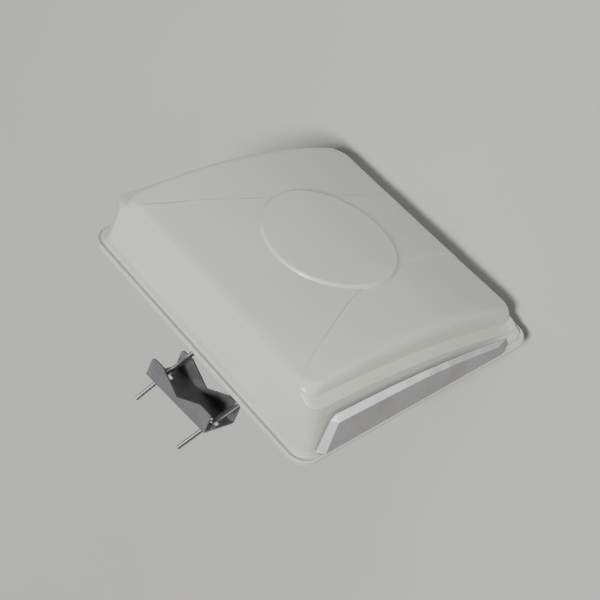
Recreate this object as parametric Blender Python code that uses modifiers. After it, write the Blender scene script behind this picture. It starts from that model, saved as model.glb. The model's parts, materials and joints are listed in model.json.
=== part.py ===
"""Wedge-shaped flat panel antenna with a tilting mast clamp.

Metres, +Z up along the mast, the radome faces -Y. The origin lies on the axis of a
50 mm mast seated in the inner jaw. Panel pieces hang from an empty on the tilt hinge
and are drawn in the panel's own axes: x across, z up the panel, y from front to back,
with y = 0 on the front face of the rim.
"""
import math

import bmesh
import bpy
from mathutils import Matrix, Vector

MM = 0.001
GAP = 0.3 * MM

# Panel rim and radome shell
PANEL_HALF_X = 181.0 * MM
PANEL_HALF_Z = 172.5 * MM
RIM_CORNER = 22.0 * MM
SHELL = 2.5 * MM
CROWN_MID = 74.35 * MM
CROWN_SLOPE = 0.1551
CROWN_CURVE = 0.958
LEDGE_MID = 44.75 * MM
LEDGE_SLOPE = 0.1891
LEDGE_CURVE = 0.532
DISC_RADIUS = 78.2 * MM
DISC_BEVEL = 3.0 * MM
DISC_RISE = 3.4 * MM
PAD_FACE = 178.2 * MM
PAD_FLOOR = 0.35 * MM
PAD_CHAMFER = 6.0 * MM
SIDE_STEPS = 10
CORNER_STEPS = 5

# Back of the panel
COVER_THICK = 2.0 * MM
COVER_FRONT = 3.7 * MM
COVER_BACK = COVER_FRONT + COVER_THICK
REFLECTOR_THICK = 1.2 * MM
SCREW_SPOTS = [(x, z) for x in (-160, 160) for z in (-60, 100)] + [
    (x, z) for x in (-75, 75) for z in (-148, 139)
]
SCREW_RADIUS = 2.0 * MM
SCREW_LENGTH = 12.0 * MM
BOSS_RADIUS = 4.5 * MM

# Radiators and feed
PATCH_SIZE = 68.0 * MM
PATCH_PITCH = 140.0 * MM
PATCH_RISE = 12.0 * MM
FEED_RISE = 3.2 * MM

# Connector on the back, below the bracket
CONNECTOR_X = 0.0
CONNECTOR_Z = -84.0 * MM

# Tilt bracket and clamp
TILT = math.radians(14.9)
JAW_LENGTH = 106.0 * MM
JAW_WIDTH = 48.6 * MM
JAW_HEIGHT = 25.4 * MM
JAW_HORN = 20.9 * MM
JAW_VEE = 9.0 * MM
JAW_SHEET = 2.2 * MM
BOLT_SPACING = 84.2 * MM
BOLT_RADIUS = 3.0 * MM
HOLE_RADIUS = 5.5 * MM
HOLE_SLOT = 2.5 * MM
BOLT_LEAN = math.radians(20.5)
JAW_YAW = math.radians(4.4)
JAW_TRAVEL = 104.0 * MM
BOLT_TAIL = 69.0 * MM
NUT_BACKSET = {"left": 11.2 * MM, "right": 12.3 * MM}
WASHER_CLEAR = 5.2 * MM
SEAT_TO_WEB = 37.0 * MM
WEB_TO_PIVOT = 30.0 * MM
PIVOT_PANEL_Y = 44.8 * MM
PIVOT_PANEL_Z = 76.7 * MM
YOKE_SHEET = 3.0 * MM
YOKE_WIDTH = 46.0 * MM
BASE_SHEET = 3.0 * MM
BASE_HALF_X = 55.0 * MM
BASE_DEPTH_Z = 72.0 * MM
SLOT_RADIUS = 22.0 * MM
SLOT_SWING = math.radians(25)

PIVOT = Vector((0, -SEAT_TO_WEB - WEB_TO_PIVOT, 0))
ROCK_Y = -SEAT_TO_WEB - (GAP + YOKE_SHEET) / 2  # the clamp bolts rock here, in both sheets


def clear_scene():
    for item in list(bpy.data.objects):
        bpy.data.objects.remove(item, do_unlink=True)


def new_collection(name):
    group = bpy.data.collections.new(name)
    bpy.context.scene.collection.children.link(group)
    return group


def new_material(name, colour, roughness, metallic=0.0):
    material = bpy.data.materials.new(name)
    material.use_nodes = True
    shader = material.node_tree.nodes["Principled BSDF"]
    shader.inputs["Base Color"].default_value = (*colour, 1.0)
    shader.inputs["Roughness"].default_value = roughness
    shader.inputs["Metallic"].default_value = metallic
    return material


clear_scene()
PARTS = new_collection("panel_antenna")
CUTTERS = new_collection("cutters")

PLASTIC = new_material("radome_plastic", (0.62, 0.63, 0.58), 0.45)
GLOSS = new_material("gloss_plastic", (0.55, 0.57, 0.60), 0.12)
RUBBER = new_material("seal_rubber", (0.03, 0.03, 0.03), 0.8)
ALUMINIUM = new_material("sheet_aluminium", (0.75, 0.76, 0.77), 0.35, 1.0)
ZINC = new_material("zinc_steel", (0.45, 0.45, 0.46), 0.4, 1.0)
BRIGHT = new_material("bright_steel", (0.72, 0.72, 0.72), 0.22, 1.0)
BRASS = new_material("brass", (0.75, 0.55, 0.25), 0.3, 1.0)
BOARD = new_material("circuit_board", (0.05, 0.25, 0.12), 0.5)
WHITE = new_material("white_insulator", (0.85, 0.85, 0.83), 0.5)
JACKET = new_material("cable_jacket", (0.02, 0.02, 0.02), 0.5)


# ---------------------------------------------------------------- shape helpers

def add_object(name, mesh, material, group=None, smooth=False):
    thing = bpy.data.objects.new(name, mesh)
    (group or PARTS).objects.link(thing)
    if material:
        mesh.materials.append(material)
    if smooth:
        mesh.shade_smooth()
        mesh.set_sharp_from_angle(angle=math.radians(35))
    return thing


def mesh_from(build):
    """Run a bmesh building function and return the finished mesh."""
    work = bmesh.new()
    build(work)
    bmesh.ops.recalc_face_normals(work, faces=work.faces)
    mesh = bpy.data.meshes.new("shape")
    work.to_mesh(mesh)
    work.free()
    return mesh


def box_mesh(size, centre=(0, 0, 0)):
    matrix = Matrix.Translation(centre) @ Matrix.Diagonal((*size, 1.0))
    return mesh_from(lambda work: bmesh.ops.create_cube(work, size=1.0, matrix=matrix))


def along(axis):
    """Rotation that turns the local Z axis to the given direction."""
    return Vector(axis).to_track_quat("Z", "Y").to_matrix().to_4x4()


def add_rod(work, radius, start, end, sides):
    start, end = Vector(start), Vector(end)
    matrix = Matrix.Translation((start + end) / 2) @ along(end - start)
    bmesh.ops.create_cone(
        work, cap_ends=True, segments=sides, radius1=radius, radius2=radius,
        depth=(end - start).length, matrix=matrix,
    )


def rod_mesh(rods):
    """Mesh of separate rods, each (radius, start, end, sides)."""
    def build(work):
        for radius, start, end, sides in rods:
            add_rod(work, radius, start, end, sides)
    return mesh_from(build)


def turned_mesh(profiles, sides=24):
    """Closed solids turned about local Z; each profile lists (radius, z), bottom to top.

    A profile that starts and ends off the axis gives a ring with a hole.
    """
    def build(work):
        for profile in profiles:
            verts = [work.verts.new((r, 0, z)) for r, z in profile]
            closed = profile[0][0] > 0 and profile[-1][0] > 0
            pairs = list(zip(verts, verts[1:]))
            if closed:
                pairs.append((verts[-1], verts[0]))
            edges = [work.edges.new(pair) for pair in pairs]
            bmesh.ops.spin(
                work, geom=verts + edges, cent=(0, 0, 0), axis=(0, 0, 1),
                angle=math.tau, steps=sides, use_merge=True,
            )
        bmesh.ops.remove_doubles(work, verts=work.verts, dist=0.00001)
    return mesh_from(build)


def arc(cx, cy, radius, start, end, steps):
    return [
        (cx + radius * math.cos(a), cy + radius * math.sin(a))
        for a in (start + (end - start) * k / steps for k in range(steps + 1))
    ]


def circle(cx, cy, radius, steps=24):
    return arc(cx, cy, radius, 0, math.tau, steps)[:-1]


def rounded_outline(half_x, half_y, radius, steps=6):
    points = []
    for sx, sy, start in ((1, 1, 0), (-1, 1, 90), (-1, -1, 180), (1, -1, 270)):
        a = math.radians(start)
        points += arc(sx * (half_x - radius), sy * (half_y - radius), radius,
                      a, a + math.pi / 2, steps)
    return points


def plate_mesh(outlines, thickness):
    """Flat sheet in local XY, centred on z = 0: the first outline, the rest cut as holes."""
    curve = bpy.data.curves.new("outline", "CURVE")
    curve.dimensions = "2D"
    curve.fill_mode = "BOTH"
    curve.extrude = thickness / 2
    for points in outlines:
        spline = curve.splines.new("POLY")
        spline.points.add(len(points) - 1)
        for point, (x, y) in zip(spline.points, points):
            point.co = (x, y, 0, 1)
        spline.use_cyclic_u = True
    holder = bpy.data.objects.new("outline", curve)
    bpy.context.scene.collection.objects.link(holder)
    mesh = bpy.data.meshes.new_from_object(
        holder.evaluated_get(bpy.context.evaluated_depsgraph_get())
    )
    bpy.data.objects.remove(holder, do_unlink=True)
    work = bmesh.new()
    work.from_mesh(mesh)
    bmesh.ops.remove_doubles(work, verts=work.verts, dist=0.00001)
    bmesh.ops.recalc_face_normals(work, faces=work.faces)
    work.to_mesh(mesh)
    work.free()
    mesh.materials.clear()
    return mesh


def place(thing, parent=None, location=(0, 0, 0), rotation=(0, 0, 0)):
    thing.parent = parent
    thing.location = location
    thing.rotation_euler = rotation
    return thing


def cutter(name, mesh, parent=None, location=(0, 0, 0), rotation=(0, 0, 0)):
    tool = add_object(name, mesh, None, CUTTERS)
    tool.hide_render = True
    tool.display_type = "WIRE"
    return place(tool, parent, location, rotation)


def boolean(target, tool, operation="DIFFERENCE"):
    change = target.modifiers.new(operation.lower(), "BOOLEAN")
    change.operation = operation
    change.object = tool


def empty(name, parent=None, location=(0, 0, 0), rotation=(0, 0, 0)):
    marker = bpy.data.objects.new(name, None)
    CUTTERS.objects.link(marker)
    return place(marker, parent, location, rotation)


FRONT = (math.radians(90), 0, 0)  # stands a sheet drawn in XY up into the XZ plane
BACKWARD = (math.radians(-90), 0, 0)  # turns local Z to +Y
FORWARD = (math.radians(90), 0, 0)  # turns local Z to -Y


# ---------------------------------------------------------------- radome

def crown(z):
    return CROWN_MID + CROWN_SLOPE * z - CROWN_CURVE * z * z


def ledge(z):
    return LEDGE_MID + LEDGE_SLOPE * z - LEDGE_CURVE * z * z


def ring_points(half_x, top, bottom, radius, end_height, top_height, bottom_height):
    """One closed ring of the radome skin, as (x, z, height in front of the rim)."""
    points = []
    low, high = -bottom + radius, top - radius
    wide = half_x - radius
    corners = (
        (1, 1, top_height), (-1, 1, top_height),
        (-1, -1, bottom_height), (1, -1, bottom_height),
    )
    for index, (sx, sz, side_height) in enumerate(corners):
        cx, cz = sx * wide, high if sz > 0 else low
        start = math.radians(90 * index)
        for k in range(CORNER_STEPS + 1):
            share = k / CORNER_STEPS
            angle = start + share * math.pi / 2
            x, z = cx + radius * math.cos(angle), cz + radius * math.sin(angle)
            toward_side = share if index % 2 == 0 else 1 - share
            blend = toward_side * toward_side * (3 - 2 * toward_side)
            points.append((x, z, end_height(z) * (1 - blend) + side_height(z) * blend))
        for k in range(1, SIDE_STEPS):
            share = k / SIDE_STEPS
            if index == 0:
                points.append((wide * (1 - 2 * share), top, side_height(top)))
            elif index == 1:
                z = high + (low - high) * share
                points.append((-half_x, z, end_height(z)))
            elif index == 2:
                points.append((-wide * (1 - 2 * share), -bottom, side_height(-bottom)))
            else:
                z = low + (high - low) * share
                points.append((half_x, z, end_height(z)))
    return points


def level(height):
    return lambda z: height * MM


def below_crown(drop):
    return lambda z: crown(z) - drop * MM


def over_ledge(rise, least):
    return lambda z: max(ledge(z) + rise * MM, least * MM)


def disc_ring(outline, radius, rise):
    points = []
    for x, z, _ in outline:
        angle = math.atan2(z, x)
        px, pz = radius * math.cos(angle), radius * math.sin(angle)
        points.append((px, pz, crown(pz) + rise))
    return points


def radome_rings():
    half_x, half_z = PANEL_HALF_X, PANEL_HALF_Z
    # half width, top, bottom, corner radius, heights at the ends, top and bottom
    rows = [
        (half_x, half_z, half_z, RIM_CORNER, level(-5.5), level(-5.5), level(-5.5)),
        (half_x, half_z, half_z, RIM_CORNER, level(-0.8), level(-0.8), level(-0.8)),
        (half_x - 0.8 * MM, half_z - 0.8 * MM, half_z - 0.8 * MM, 21.2 * MM,
         level(0), level(0), level(0)),
    ]
    shape = [
        (172.9, 170.0, 170.3, 17.0, level(0), level(0), level(0)),
        (171.3, 168.7, 169.0, 16.0, level(1.6), level(1.6), level(1.4)),
        (168.4, 164.9, 168.5, 15.0, lambda z: max(0.5 * ledge(z), 0.0022), level(32), level(2.4)),
        (166.4, 161.4, 168.2, 14.0, over_ledge(-2.2, 3.0), level(57), level(3.4)),
        (164.9, 160.9, 168.0, 13.5, over_ledge(0, 4.0), level(60), level(4.8)),
        (152.6, 160.4, 167.4, 13.0, over_ledge(1.6, 6.5), level(64), level(8)),
        (151.8, 159.4, 166.6, 13.0, over_ledge(4.4, 9.5), level(68), level(12.5)),
        (149.8, 156.6, 164.8, 13.0, below_crown(9.0), level(71.5), level(18)),
        (146.0, 150.6, 161.2, 14.0, below_crown(3.0), below_crown(2.4), below_crown(3.0)),
        (138.0, 139.0, 152.5, 16.0, below_crown(0), below_crown(0), below_crown(0)),
        (112.0, 110.0, 118.0, 52.0, below_crown(0), below_crown(0), below_crown(0)),
    ]
    rows += [(a * MM, b * MM, c * MM, d * MM, e, f, g) for a, b, c, d, e, f, g in shape]
    rings = [ring_points(*row) for row in rows]
    outline = rings[-1]
    rings.append(disc_ring(outline, DISC_RADIUS, 0))
    rings.append(disc_ring(outline, DISC_RADIUS - DISC_BEVEL, DISC_RISE))
    rings.append(disc_ring(outline, DISC_RADIUS / 2, DISC_RISE))
    return rings


def radome_skin(work):
    loops = [
        [work.verts.new((x, -height, z)) for x, z, height in ring]
        for ring in radome_rings()
    ]
    for outer, inner in zip(loops, loops[1:]):
        count = len(outer)
        for k in range(count):
            n = (k + 1) % count
            work.faces.new((outer[k], outer[n], inner[n], inner[k]))
    centre = work.verts.new((0, -(crown(0) + DISC_RISE), 0))
    last = loops[-1]
    for k, vert in enumerate(last):
        work.faces.new((vert, last[(k + 1) % len(last)], centre))


def outer_height(x, z):
    """Height of the skin over a screw boss."""
    return ledge(z) if abs(x) > 0.15 else crown(z)


def build_radome(panel):
    work = bmesh.new()
    radome_skin(work)
    mesh = bpy.data.meshes.new("radome")
    work.to_mesh(mesh)
    work.free()
    radome = place(add_object("radome", mesh, PLASTIC), panel)
    solid = radome.modifiers.new("wall", "SOLIDIFY")
    solid.thickness = SHELL
    solid.offset = -1.0
    solid.use_even_offset = True
    bosses = []
    pilots = []
    for x, z in SCREW_SPOTS:
        x, z = x * MM, z * MM
        top = outer_height(x, z) - 2.1 * MM
        bosses.append((BOSS_RADIUS, (x, 2.8 * MM, z), (x, -top, z), 16))
        pilots.append((SCREW_RADIUS + GAP, (x, 4 * MM, z), (x, -SCREW_LENGTH, z), 16))
    boolean(radome, cutter("boss_rods", rod_mesh(bosses), panel), "UNION")
    boolean(radome, cutter("boss_pilots", rod_mesh(pilots), panel))


def pad_top(z):
    """Arched top edge of the gloss pad, following the ledge above it."""
    return 0.72 * ledge(z) - 2.0 * MM


def pad_column(z, height, foot_z=None, face_z=None, face_top_z=None):
    """Section of the pad: three points up the end wall, two down the face.

    Without face points the section closes to an edge on the wall.
    """
    foot_z = z if foot_z is None else foot_z
    root = (173.4 * MM, PAD_FLOOR, foot_z)
    heel = (172.0 * MM, 2.3 * MM, foot_z + (z - foot_z) * 2.3 * MM / height)
    top = (172.5 * MM - 5.5 * MM * height / ledge(z), height, z)
    if face_z is None:
        return [root, heel, top, top, root]
    return [
        root, heel, top,
        (PAD_FACE - 0.8 * MM, height - PAD_CHAMFER, face_top_z), (PAD_FACE, PAD_FLOOR, face_z),
    ]


def build_end_pad(panel):
    """Chamfered gloss pad on the end wall at -X, between the ledge and the rim."""
    columns = [pad_column(135 * MM, 37 * MM, foot_z=147.5 * MM)]
    columns.append(pad_column(128 * MM, pad_top(128 * MM), foot_z=141 * MM,
                              face_z=139.5 * MM, face_top_z=129 * MM))
    steps = 12
    for k in range(steps + 1):
        z = (118 - 240 * k / steps) * MM
        columns.append(pad_column(z, pad_top(z), face_z=z, face_top_z=z))
    last = -140 * MM
    columns.append(pad_column(last, pad_top(last)))

    def build(work):
        loops = [[work.verts.new((-x, -h, z)) for x, h, z in column] for column in columns]
        for left, right in zip(loops, loops[1:]):
            for k in range(5):
                n = (k + 1) % 5
                work.faces.new((left[k], left[n], right[n], right[k]))
        bmesh.ops.remove_doubles(work, verts=work.verts, dist=0.00001)
        bmesh.ops.dissolve_degenerate(work, edges=work.edges, dist=0.00001)
        bmesh.ops.holes_fill(work, edges=[e for e in work.edges if e.is_boundary])

    place(add_object("end_pad", mesh_from(build), GLOSS), panel)


# ---------------------------------------------------------------- panel back and insides

def build_back(panel):
    holes = [circle(x * MM, z * MM, SCREW_RADIUS + GAP, 16) for x, z in SCREW_SPOTS]
    bolts = [circle(x, z, 3.4 * MM, 16) for x, z in base_bolt_spots()]
    connector = [circle(CONNECTOR_X, CONNECTOR_Z, 8.4 * MM)]
    vent = [circle(110 * MM, -118 * MM, 6.3 * MM)]

    outline = rounded_outline(178.0 * MM, 169.5 * MM, 19 * MM)
    mesh = plate_mesh([outline] + holes + bolts + connector + vent, COVER_THICK)
    place(add_object("back_cover", mesh, PLASTIC), panel,
          (0, COVER_FRONT + COVER_THICK / 2, 0), FRONT)

    ring = [rounded_outline(177.6 * MM, 169.1 * MM, 18.6 * MM),
            rounded_outline(170.2 * MM, 167.0 * MM, 15 * MM)]
    place(add_object("rim_gasket", plate_mesh(ring, 0.6 * MM), RUBBER), panel,
          (0, 3.1 * MM, 0), FRONT)

    sheet = rounded_outline(152 * MM, 134 * MM, 8 * MM)
    reflector_y = COVER_FRONT - GAP - REFLECTOR_THICK / 2
    feed_hole = [circle(CONNECTOR_X, CONNECTOR_Z, 13 * MM)]
    nut_holes = [circle(x, z, 3.4 * MM, 16) for x, z in base_bolt_spots()]
    mesh = plate_mesh([sheet] + feed_hole + nut_holes, REFLECTOR_THICK)
    place(add_object("reflector_plate", mesh, ALUMINIUM), panel, (0, reflector_y, 0), FRONT)


def screw_profile(head_radius, head_height, radius, length):
    """Pan head screw along local Z: head at the top, tip at the bottom."""
    return [
        (0, -length), (radius * 0.7, -length), (radius, -length + radius), (radius, 0),
        (head_radius, 0), (head_radius, head_height * 0.5),
        (head_radius * 0.75, head_height), (0, head_height),
    ]


def add_copies(name, mesh, material, parent, spots, rotation=(0, 0, 0), smooth=True):
    """One numbered object for each spot, all sharing one mesh."""
    mesh.materials.append(material)
    if smooth:
        mesh.shade_smooth()
        mesh.set_sharp_from_angle(angle=math.radians(35))
    for index, spot in enumerate(spots):
        place(add_object(f"{name}_{index + 1}", mesh, None), parent, spot, rotation)


def build_cover_screws(panel):
    single = turned_mesh([screw_profile(3.8 * MM, 2.4 * MM, SCREW_RADIUS, 13 * MM)], 12)
    spots = [(x * MM, COVER_BACK + GAP, z * MM) for x, z in SCREW_SPOTS]
    add_copies("cover_screw", single, BRIGHT, panel, spots, BACKWARD)


def patch_spots():
    half = PATCH_PITCH / 2
    return [(x, z) for z in (half - 10 * MM, -half - 10 * MM) for x in (-half, half)]


def build_radiators(panel):
    reflector_front = COVER_FRONT - GAP - REFLECTOR_THICK
    outline = rounded_outline(PATCH_SIZE / 2, PATCH_SIZE / 2, 5 * MM, 3)
    patch = plate_mesh([outline, circle(0, 0, 2.4 * MM, 12)], 1.0 * MM)
    patches = [(x, reflector_front - PATCH_RISE, z) for x, z in patch_spots()]
    add_copies("radiator", patch, ALUMINIUM, panel, patches, FRONT, False)
    # Each spacer is a shouldered post: its neck passes the patch and is headed over in front.
    under = PATCH_RISE - 0.5 * MM - 2 * GAP
    over = PATCH_RISE + 0.5 * MM
    profile = [
        (0, 0), (4 * MM, 0), (4 * MM, under), (2.1 * MM, under), (2.1 * MM, over),
        (3.4 * MM, over), (3.4 * MM, over + MM), (2.4 * MM, over + 2 * MM), (0, over + 2 * MM),
    ]
    spots = [(x, reflector_front - GAP, z) for x, z in patch_spots()]
    add_copies("radiator_post", turned_mesh([profile], 12), WHITE, panel, spots, FORWARD)


def build_feed(panel):
    """Printed power divider: an H of board lying just in front of the reflector."""
    reflector_front = COVER_FRONT - GAP - REFLECTOR_THICK
    board_y = reflector_front - FEED_RISE
    arm, rail = 9 * MM, 9 * MM
    half = PATCH_PITCH / 2
    feed_z = [z + 16 * MM for _, z in patch_spots()][::2]
    top, bottom = feed_z[0] + 5 * MM, feed_z[1] - 5 * MM
    middle = (feed_z[0] + feed_z[1]) / 2
    outline = [
        (-half - arm, bottom), (-half + arm, bottom), (-half + arm, middle - rail),
        (half - arm, middle - rail), (half - arm, bottom), (half + arm, bottom),
        (half + arm, top), (half - arm, top), (half - arm, middle + rail),
        (-half + arm, middle + rail), (-half + arm, top), (-half - arm, top),
    ]
    around = [circle(x, z, 4.5 * MM, 12) for x, z in patch_spots()[:2]]
    mesh = plate_mesh([outline] + around, 1.6 * MM)
    place(add_object("feed_board", mesh, BOARD), panel, (0, board_y, 0), FRONT)
    return middle


def build_connector(panel, feed_middle):
    """Threaded bulkhead jack through the back cover, with its seal, washer and nut inside."""
    flange = COVER_BACK + 1.6 * MM
    spot = (CONNECTOR_X, flange, CONNECTOR_Z)
    body = [
        (2.6, -10.5), (6.0, -10.5), (6.0, -9.0), (8.0, -9.0), (8.0, 0), (11.5, 0), (11.5, 3.0),
        (9.0, 3.0), (9.0, 4.5), (7.8, 5.5), (7.8, 17.0), (6.9, 18.0), (5.4, 18.0),
        (5.4, 6.0), (2.6, 6.0),
    ]

    def add(name, profile, material, sides=24):
        mesh = turned_mesh([[(r * MM, z * MM) for r, z in profile]], sides)
        place(add_object(name, mesh, material, smooth=True), panel, spot, BACKWARD)

    add("connector_body", body, BRIGHT)
    add("connector_insulator", [(1.1, -9.6), (2.3, -9.6), (2.3, 9.5), (1.1, 9.5)], WHITE, 16)
    add("connector_pin", [(0, -12.5), (0.8, -12.5), (0.8, 13.0), (0.5, 14.0), (0, 14.0)], BRASS, 12)
    add("connector_seal", [(8.4, -1.3), (11.0, -1.3), (11.0, -0.3), (8.4, -0.3)], RUBBER)
    add("connector_washer", [(8.3, -5.2), (10.6, -5.2), (10.6, -4.2), (8.3, -4.2)], BRIGHT)
    nut = nut_mesh(8.3 * MM, 20 * MM, 3.1 * MM, 24)
    nut.transform(Matrix.Translation((0, 0, -8.7 * MM)))
    place(add_object("connector_nut", nut, BRIGHT), panel, spot, BACKWARD)

    curve = bpy.data.curves.new("jumper", "CURVE")
    curve.dimensions = "3D"
    curve.bevel_depth = 1.6 * MM
    curve.bevel_resolution = 2
    curve.use_fill_caps = True
    start = Vector((CONNECTOR_X, flange - 13.1 * MM, CONNECTOR_Z))
    end = Vector((0, COVER_FRONT - GAP - REFLECTOR_THICK - FEED_RISE - 1.4 * MM, feed_middle))
    reach = 13 * MM
    spline = curve.splines.new("POLY")
    steps = 14
    spline.points.add(steps)
    for k in range(steps + 1):
        t = k / steps
        lift = reach * math.sin(math.pi * t)
        point = start.lerp(end, t * t * (3 - 2 * t))
        spline.points[k].co = (point.x, point.y - lift, point.z, 1)
    jumper = bpy.data.objects.new("coax_jumper", curve)
    PARTS.objects.link(jumper)
    curve.materials.append(JACKET)
    place(jumper, panel)


def build_vent(panel):
    """Push-in breather plug low on the back cover."""
    profile = [
        (0, -2.0), (5.9, -2.0), (5.9, 0.3), (8.5, 0.3), (8.5, 1.3), (7.5, 2.8), (0, 2.8),
    ]
    mesh = turned_mesh([[(r * MM, z * MM) for r, z in profile]], 20)
    place(add_object("vent_plug", mesh, RUBBER, smooth=True), panel,
          (110 * MM, COVER_BACK, -118 * MM), BACKWARD)


# ---------------------------------------------------------------- tilt bracket

def base_bolt_spots():
    return [(x * MM, PIVOT_PANEL_Z + z * MM) for x in (-34, 34) for z in (-24, 24)]


def slot_outline(radius, width, middle, swing, steps=8):
    """Curved slot about the origin, swing either side of the middle angle."""
    outer = arc(0, 0, radius + width, middle - swing, middle + swing, steps)
    inner = arc(0, 0, radius - width, middle + swing, middle - swing, steps)
    return outer + inner


def ear_mesh(sheet):
    """Base bracket ear, drawn about the pivot: x runs front to back, y up the panel."""
    root = -(PIVOT_PANEL_Y - COVER_BACK - GAP - BASE_SHEET * 0.5)
    tip = 11 * MM
    half = BASE_DEPTH_Z / 2
    outline = [(root, -half), (-16 * MM, -half)]
    outline += arc(0, 0, tip + 3 * MM, math.radians(-80), math.radians(80), 10)
    outline += [(-16 * MM, half), (root, half)]
    slot = slot_outline(SLOT_RADIUS, 3.4 * MM, math.pi + TILT, SLOT_SWING)
    return plate_mesh([outline, circle(0, 0, 3.3 * MM, 20), slot], sheet)


def build_base(panel):
    """U bracket bolted to the back cover, its ears drilled for the pivot and slotted."""
    front = COVER_BACK + GAP
    web = box_mesh((2 * BASE_HALF_X, BASE_SHEET, BASE_DEPTH_Z),
                   (0, front + BASE_SHEET / 2, PIVOT_PANEL_Z))
    base = place(add_object("base_bracket", web, ZINC), panel)
    for side in (-1, 1):
        ear = cutter(f"base_ear_{side}", ear_mesh(BASE_SHEET), panel,
                     (side * (BASE_HALF_X - BASE_SHEET / 2), PIVOT_PANEL_Y, PIVOT_PANEL_Z))
        ear.rotation_euler = Matrix(((0, 0, 1), (1, 0, 0), (0, 1, 0))).to_euler()
        boolean(base, ear, "UNION")
    holes = [(3.4 * MM, (x, front - MM, z), (x, front + BASE_SHEET + MM, z), 16)
             for x, z in base_bolt_spots()]
    boolean(base, cutter("base_holes", rod_mesh(holes), panel))


def bolt_mesh(radius, across, head, length, sides=12):
    """Hex head bolt along local Z, head below z = 0, made as one turned loft."""
    def build(work):
        corner = across / math.sqrt(3)
        levels = [(-head, 0.92), (-head + 0.6 * MM, 1.0), (0, 1.0)]
        loops = []
        for z, grow in levels:
            loops.append([work.verts.new((*hex_point(k, sides, corner * grow), z))
                          for k in range(sides)])
        for z, r in ((0, radius), (length - 0.8 * MM, radius), (length, radius * 0.8)):
            loops.append([work.verts.new((r * math.cos(math.tau * k / sides),
                                          r * math.sin(math.tau * k / sides), z))
                          for k in range(sides)])
        for low, high in zip(loops, loops[1:]):
            for k in range(sides):
                n = (k + 1) % sides
                work.faces.new((low[k], low[n], high[n], high[k]))
        work.faces.new(loops[0])
        work.faces.new(loops[-1])
    return mesh_from(build)


def hex_point(k, sides, corner):
    angle = math.tau * k / sides
    sector = (angle + math.pi / 6) % (math.pi / 3) - math.pi / 6
    reach = corner * math.cos(math.pi / 6) / math.cos(math.pi / 6 - abs(sector))
    return reach * math.cos(angle), reach * math.sin(angle)


def nut_mesh(bore, across, height, sides=12):
    def build(work):
        corner = across / math.sqrt(3)
        rings = []
        for z in (0, height):
            rings.append([work.verts.new((*hex_point(k, sides, corner), z)) for k in range(sides)])
            rings.append([work.verts.new((bore * math.cos(math.tau * k / sides),
                                          bore * math.sin(math.tau * k / sides), z))
                          for k in range(sides)])
        for a, b in ((0, 2), (1, 3), (0, 1), (2, 3)):
            for k in range(sides):
                n = (k + 1) % sides
                work.faces.new((rings[a][k], rings[a][n], rings[b][n], rings[b][k]))
    return mesh_from(build)


def ring_mesh(bore, radius, height, sides=16):
    profile = [(bore, 0), (radius, 0), (radius, height), (bore, height)]
    return turned_mesh([profile], sides)


def build_base_fasteners(panel):
    """Four bolts through bracket, cover and reflector, with nuts inside the panel."""
    head_face = COVER_BACK + 2 * GAP + BASE_SHEET
    nut_face = COVER_FRONT - 2 * GAP - REFLECTOR_THICK
    bolt = bolt_mesh(BOLT_RADIUS, 10 * MM, 4 * MM, 16 * MM)
    nut = nut_mesh(BOLT_RADIUS + GAP, 10 * MM, 5 * MM)
    spots = base_bolt_spots()
    add_copies("base_bolt", bolt, BRIGHT, panel, [(x, head_face, z) for x, z in spots], FORWARD)
    add_copies("base_nut", nut, BRIGHT, panel, [(x, nut_face, z) for x, z in spots], FORWARD)


def build_yoke(tilt):
    """U yoke that turns on the base bracket and carries the inner jaw, in clamp axes."""
    web_y = WEB_TO_PIVOT - JAW_SHEET / 2 - GAP - YOKE_SHEET / 2
    ear_x = BASE_HALF_X + GAP + YOKE_SHEET / 2
    half = YOKE_WIDTH / 2
    web = web_mesh(2 * ear_x + YOKE_SHEET, YOKE_WIDTH, YOKE_SHEET)
    web.transform(Matrix.Translation((0, web_y, 0)))
    yoke = place(add_object("tilt_yoke", web, ZINC), tilt)
    outline = [(web_y, half), (web_y - 8 * MM, half)]
    outline += arc(-SLOT_RADIUS + 4 * MM, 0, 15 * MM, math.radians(120), math.radians(240), 8)
    outline += [(web_y - 8 * MM, -half), (web_y, -half)]
    lock = circle(-SLOT_RADIUS, 0, 3.3 * MM, 20)
    ear = plate_mesh([outline, circle(0, 0, 3.3 * MM, 20), lock], YOKE_SHEET)
    for side in (-1, 1):
        tool = cutter(f"yoke_ear_{side}", ear.copy(), tilt, (side * ear_x, 0, 0))
        tool.rotation_euler = Matrix(((0, 0, 1), (1, 0, 0), (0, 1, 0))).to_euler()
        boolean(yoke, tool, "UNION")


def build_pivot_fasteners(tilt):
    """Pivot and lock bolts on both ears, heads outside and nuts inside."""
    outer = BASE_HALF_X + GAP + YOKE_SHEET + GAP
    inner = BASE_HALF_X - BASE_SHEET - GAP
    bolt = bolt_mesh(BOLT_RADIUS, 10 * MM, 4 * MM, 13.5 * MM)
    nut = nut_mesh(BOLT_RADIUS + GAP, 10 * MM, 5 * MM)
    for name, y in (("pivot", 0.0), ("lock", -SLOT_RADIUS)):
        for side, label in ((-1, "left"), (1, "right")):
            turn = (0, math.radians(-90 * side), 0)
            place(add_object(f"{name}_bolt_{label}", bolt.copy(), BRIGHT), tilt,
                  (side * outer, y, 0), turn)
            place(add_object(f"{name}_nut_{label}", nut.copy(), BRIGHT), tilt,
                  (side * inner, y, 0), turn)


# ---------------------------------------------------------------- clamp jaws and bolts

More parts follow.
